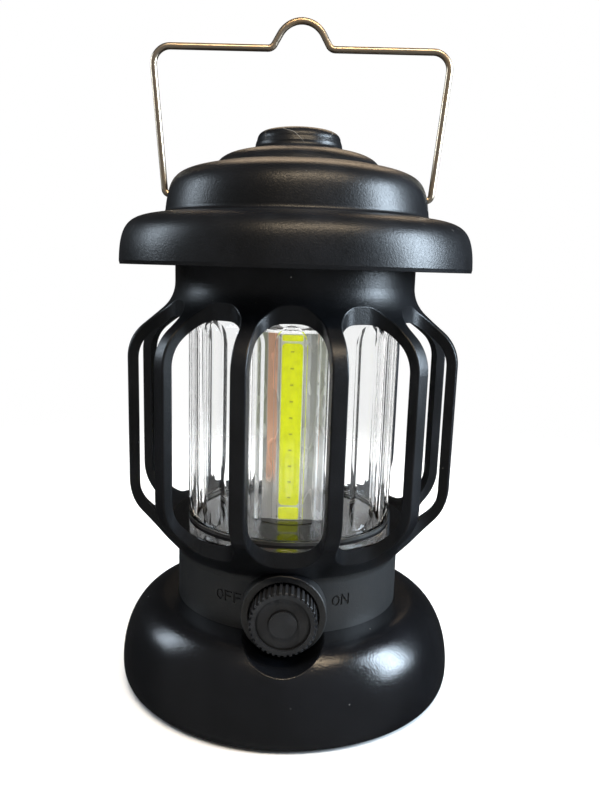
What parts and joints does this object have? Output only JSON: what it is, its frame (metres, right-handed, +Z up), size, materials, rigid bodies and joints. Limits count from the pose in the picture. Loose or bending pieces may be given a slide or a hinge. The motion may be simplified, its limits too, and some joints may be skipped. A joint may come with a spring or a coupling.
{
  "type": "camping lantern",
  "caption": "Railroad-style camping lantern: domed base, barred cage around a clear fluted cover and LED column, stepped round roof, side dimmer knob and wire bail.",
  "frame": {"origin": "on the floor under the lamp's axis, where the foot pads stand", "axes": "+Z up along the lamp's axis, -Y towards the dimmer knob, X along the bail's pivots"},
  "size_m": [0.0972, 0.0972, 0.1832],
  "materials": {
    "satin_black_plastic": "satin moulded ABS, fine grain",
    "gloss_black_plastic": "semi-gloss moulded ABS",
    "matte_black_plastic": "matt moulded",
    "knob_plastic": "satin, fluted grip",
    "clear_plastic": "clear polycarbonate",
    "nickel_wire": "nickel-plated spring wire",
    "zinc_steel": "zinc plated",
    "foot_rubber": "matt",
    "seal_rubber": "matt",
    "cell_jacket": "plain printed sleeve",
    "contact_metal": "nickel-plated strip",
    "reflector_chrome": "bright",
    "board_white": "white solder mask",
    "phosphor": "yellow silicone",
    "driver_green": "green solder mask",
    "lead_red": "sleeve",
    "lead_black": "sleeve"
  },
  "bodies": {
    "lantern": {"base_plate": "matte_black_plastic", "base_screws": "zinc_steel", "base_shell": "gloss_black_plastic", "battery_cell_1": "cell_jacket", "battery_cell_2": "cell_jacket", "battery_cell_3": "cell_jacket", "battery_tray": "matte_black_plastic", "cage": "satin_black_plastic", "chimney": "clear_plastic", "chimney_cap": "matte_black_plastic", "chimney_gasket": "seal_rubber", "cob_board_1": "board_white", "cob_board_2": "board_white", "cob_board_3": "board_white", "cob_phosphor_1": "phosphor", "cob_phosphor_2": "phosphor", "cob_phosphor_3": "phosphor", "contact_plates": "contact_metal", "contact_springs": "contact_metal", "dimmer": "contact_metal", "dimmer_nut": "zinc_steel", "driver_board": "driver_green", "foot_pads": "foot_rubber", "lamp_deck": "gloss_black_plastic", "lamp_pins": "contact_metal", "lamp_tube": "clear_plastic", "lead_negative": "lead_black", "lead_positive": "lead_red", "reflector_column": "reflector_chrome", "roof_cap": "satin_black_plastic", "roof_liner": "satin_black_plastic", "roof_screws": "zinc_steel"},
    "bail": {"bail": "nickel_wire"},
    "knob": {"dimmer_knob": "knob_plastic", "knob_shaft": "contact_metal"},
    "battery_door": {"battery_door": "matte_black_plastic"}
  },
  "joints": [
    {"name": "bail_swing", "type": "hinge", "parent": "lantern", "child": "bail", "pos_m": [0, 0, 0.1383], "axis": [1, 0, 0], "range_deg": [-96, 96]},
    {"name": "knob_turn", "type": "hinge", "parent": "lantern", "child": "knob", "pos_m": [0, -0.034, 0.0322], "axis": [0, 1, 0], "range_deg": [0, 270]},
    {"name": "battery_door_hinge", "type": "hinge", "parent": "lantern", "child": "battery_door", "pos_m": [0, 0.02315, 0.0026], "axis": [1, 0, 0], "range_deg": [0, 95]}
  ]
}
